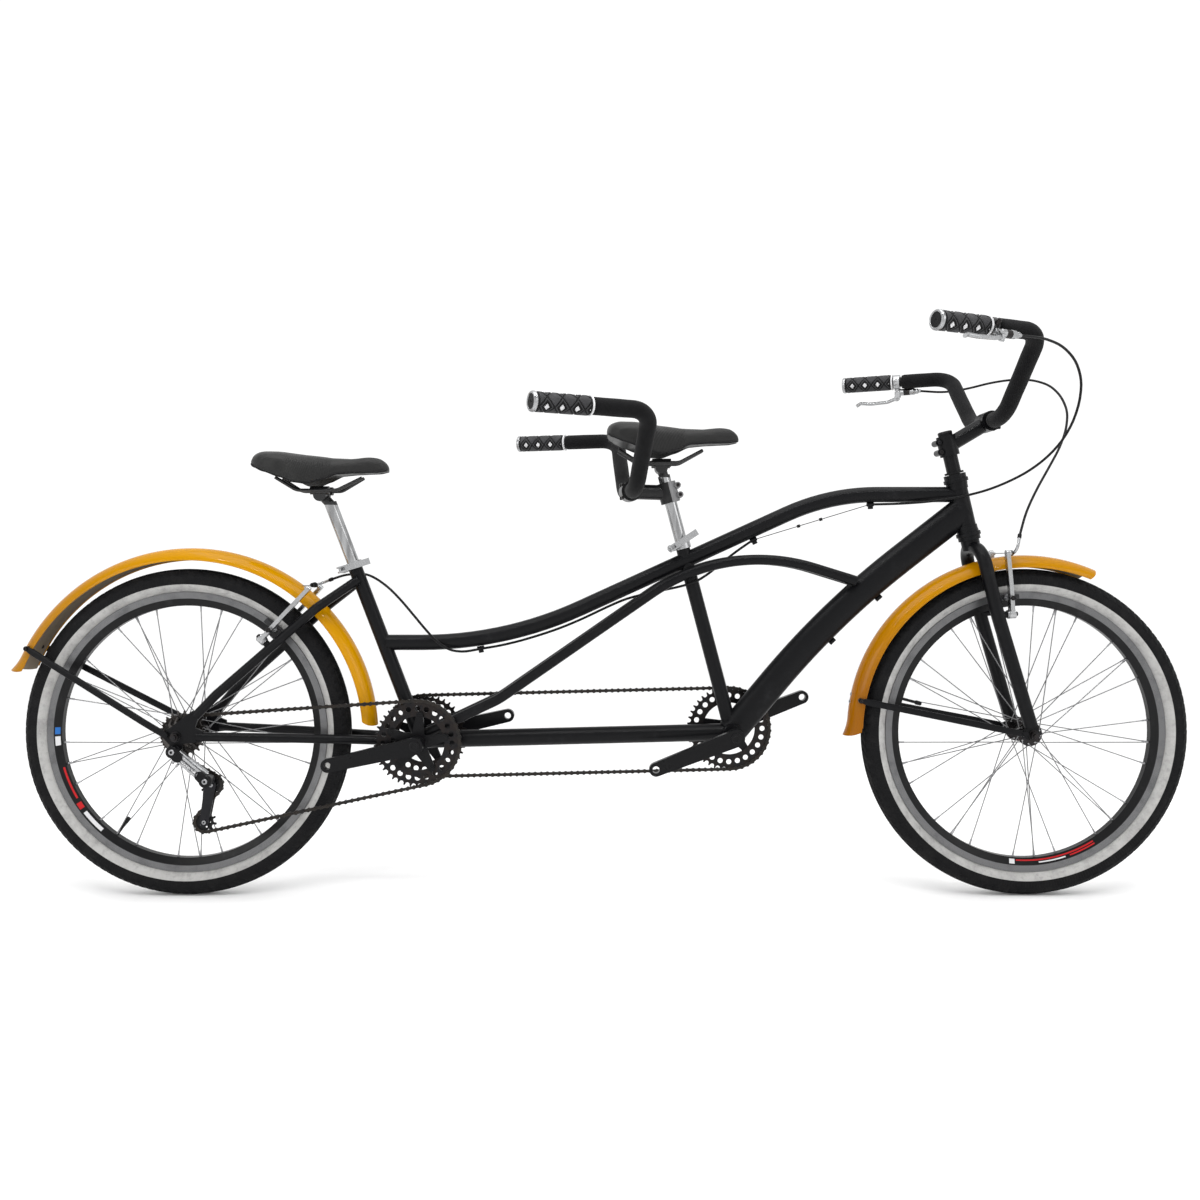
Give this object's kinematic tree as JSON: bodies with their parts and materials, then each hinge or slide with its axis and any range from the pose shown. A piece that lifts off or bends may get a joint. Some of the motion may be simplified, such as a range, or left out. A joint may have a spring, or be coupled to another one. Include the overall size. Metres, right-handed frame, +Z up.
{
  "type": "tandem bicycle",
  "caption": "Two-seat cruiser tandem bicycle with curved steel frame, swept handlebars, mudguards, linked crank sets, rear derailleur and rim brakes.",
  "frame": {"origin": "on the ground under the middle of the bicycle, in its middle plane", "axes": "+X forward, the way it rides; +Y to the riders' left; +Z up"},
  "size_m": [2.3979, 0.753, 1.114],
  "materials": {
    "frame_paint": "satin black powder coat",
    "fender_paint": "gloss yellow-orange enamel",
    "chrome": "polished chrome",
    "silver_alloy": "bright alloy",
    "black_alloy": "satin black anodised alloy",
    "chain_steel": "oiled dark steel",
    "cog_steel": "dark plated steel",
    "spoke_steel": "bright steel wire",
    "tyre": "black rubber with a pale sidewall band",
    "foam": "matte black closed-cell foam and moulded rubber",
    "saddle_cover": "black textured leatherette",
    "cable_black": "black PVC housing",
    "black_plastic": "moulded black plastic"
  },
  "bodies": {
    "frame": {"head_tube": "frame_paint", "top_tube": "frame_paint", "down_tube": "frame_paint", "boom_tube": "frame_paint", "front_seat_tube": "frame_paint", "rear_seat_tube": "frame_paint", "arch_tubes": "frame_paint", "bottom_bracket_shells": "frame_paint", "rear_stays": "frame_paint", "rear_dropouts": "frame_paint", "rear_axle": "silver_alloy", "cable_stops": "frame_paint", "bearing_cups": "frame_paint", "seat_clamps": "silver_alloy", "rear_fender": "fender_paint", "rear_fender_stays": "frame_paint", "sync_chain": "chain_steel", "drive_chain": "chain_steel", "rear_brake_cable": "cable_black", "derailleur_body": "silver_alloy"},
    "steering": {"fork": "frame_paint", "front_axle": "silver_alloy", "front_fender": "fender_paint", "front_fender_stays": "frame_paint", "captain_stem": "black_alloy", "captain_handlebar": "black_alloy", "captain_grips": "foam", "brake_perches": "silver_alloy", "front_brake_cable": "cable_black"},
    "front_wheel": {"front_tyre": "tyre", "front_rim": "black_alloy", "front_spokes": "spoke_steel", "front_hub": "silver_alloy"},
    "rear_wheel": {"rear_tyre": "tyre", "rear_rim": "black_alloy", "rear_spokes": "spoke_steel", "rear_hub": "silver_alloy"},
    "freewheel": {"freewheel_sprockets": "cog_steel"},
    "front_crankset": {"front_cranks": "black_alloy", "front_sync_ring": "chain_steel"},
    "rear_crankset": {"rear_cranks": "black_alloy", "rear_chainrings": "chain_steel"},
    "right_lever": {"brake_lever_right": "silver_alloy"},
    "left_lever": {"brake_lever_left": "silver_alloy"},
    "front_arm_right": {"front_brake_arm_right": "silver_alloy"},
    "front_arm_left": {"front_brake_arm_left": "silver_alloy"},
    "rear_arm_right": {"rear_brake_arm_right": "silver_alloy"},
    "rear_arm_left": {"rear_brake_arm_left": "silver_alloy"},
    "front_post": {"front_seatpost": "chrome", "front_saddle": "saddle_cover", "stoker_stem": "black_alloy", "stoker_handlebar": "black_alloy", "stoker_grips": "foam"},
    "rear_post": {"rear_seatpost": "chrome", "rear_saddle": "saddle_cover"},
    "front_clamp_lever": {"front_qr_lever": "silver_alloy"},
    "rear_clamp_lever": {"rear_qr_lever": "silver_alloy"},
    "cage": {"derailleur_cage": "silver_alloy"},
    "guide": {"guide_pulley": "black_plastic"},
    "tension": {"tension_pulley": "black_plastic"}
  },
  "joints": [
    {"name": "steering", "type": "hinge", "parent": "frame", "child": "steering", "pos_m": [0.7601, 0, 0.707], "axis": [-0.2267, 0, 0.974], "range_deg": [-45, 45], "deforming": ["rear_brake_cable"]},
    {"name": "front_wheel_spin", "type": "hinge", "parent": "steering", "child": "front_wheel", "pos_m": [0.8657, 0, 0.3315], "axis": [0, 1, 0], "continuous": true},
    {"name": "rear_wheel_spin", "type": "hinge", "parent": "frame", "child": "rear_wheel", "pos_m": [-0.84, 0, 0.3315], "axis": [0, 1, 0], "continuous": true},
    {"name": "rear_crank_spin", "type": "hinge", "parent": "frame", "child": "rear_crankset", "pos_m": [-0.366, 0, 0.3143], "axis": [0, 1, 0], "continuous": true, "deforming": ["sync_chain", "drive_chain"]},
    {"name": "front_crank_spin", "type": "hinge", "parent": "frame", "child": "front_crankset", "pos_m": [0.26881, 0, 0.33], "axis": [0, 1, 0], "continuous": true},
    {"name": "freewheel_spin", "type": "hinge", "parent": "frame", "child": "freewheel", "pos_m": [-0.84, 0, 0.3315], "axis": [0, 1, 0], "continuous": true},
    {"name": "right_lever_pull", "type": "hinge", "parent": "steering", "child": "right_lever", "pos_m": [0.70105, -0.32608, 1.0709], "axis": [-0.268, 0.5843, -0.766], "range_deg": [0, 11], "stiffness_Nm_per_rad": 2},
    {"name": "left_lever_pull", "type": "hinge", "parent": "steering", "child": "left_lever", "pos_m": [0.69312, 0.30879, 1.05878], "axis": [0.4027, 0.878, 0.2588], "range_deg": [0, 11], "stiffness_Nm_per_rad": 2, "deforming": ["front_brake_cable"]},
    {"name": "front_arm_right_close", "type": "hinge", "parent": "steering", "child": "front_arm_right", "pos_m": [0.826, -0.044, 0.573], "axis": [-0.9973, 0, -0.073], "range_deg": [0, 1.6]},
    {"name": "front_arm_left_close", "type": "hinge", "parent": "steering", "child": "front_arm_left", "pos_m": [0.826, 0.044, 0.573], "axis": [0.9973, 0, 0.073], "range_deg": [0, 1.6]},
    {"name": "rear_arm_right_close", "type": "hinge", "parent": "frame", "child": "rear_arm_right", "pos_m": [-0.678, -0.046, 0.523], "axis": [-0.7307, 0, 0.6827], "range_deg": [0, 1.9]},
    {"name": "rear_arm_left_close", "type": "hinge", "parent": "frame", "child": "rear_arm_left", "pos_m": [-0.678, 0.046, 0.523], "axis": [0.7307, 0, -0.6827], "range_deg": [0, 1.9]},
    {"name": "front_post_height", "type": "slide", "parent": "frame", "child": "front_post", "axis": [-0.2554, 0, 0.9668], "range_m": [-0.06, 0.05]},
    {"name": "rear_post_height", "type": "slide", "parent": "frame", "child": "rear_post", "axis": [-0.3584, 0, 0.9336], "range_m": [-0.07, 0.06]},
    {"name": "front_clamp_lever_open", "type": "hinge", "parent": "frame", "child": "front_clamp_lever", "pos_m": [0.14488, -0.026, 0.7051], "axis": [0.5471, 0, -0.8371], "range_deg": [0, 120]},
    {"name": "rear_clamp_lever_open", "type": "hinge", "parent": "frame", "child": "rear_clamp_lever", "pos_m": [-0.52512, -0.026, 0.66186], "axis": [0.2961, 0, -0.9552], "range_deg": [0, 120]},
    {"name": "cage_swing", "type": "hinge", "parent": "frame", "child": "cage", "pos_m": [-0.78, -0.058, 0.244], "axis": [0, 1, 0], "range_deg": [-10, 25], "stiffness_Nm_per_rad": 0.5},
    {"name": "guide_pulley_spin", "type": "hinge", "parent": "cage", "child": "guide", "pos_m": [-0.77793, -0.058, 0.23157], "axis": [0, 1, 0], "continuous": true},
    {"name": "tension_pulley_spin", "type": "hinge", "parent": "cage", "child": "tension", "pos_m": [-0.79186, -0.058, 0.15686], "axis": [0, 1, 0], "continuous": true}
  ],
  "couplings": [
    {"joint": "front_crank_spin", "follows": "rear_crank_spin", "ratio": 1},
    {"joint": "freewheel_spin", "follows": "rear_crank_spin", "ratio": 2.3333},
    {"joint": "guide_pulley_spin", "follows": "rear_crank_spin", "ratio": -4.2},
    {"joint": "tension_pulley_spin", "follows": "rear_crank_spin", "ratio": 4.2},
    {"joint": "front_arm_right_close", "follows": "left_lever_pull", "ratio": 0.14545},
    {"joint": "front_arm_left_close", "follows": "left_lever_pull", "ratio": 0.14545},
    {"joint": "rear_arm_right_close", "follows": "right_lever_pull", "ratio": 0.17273},
    {"joint": "rear_arm_left_close", "follows": "right_lever_pull", "ratio": 0.17273}
  ]
}
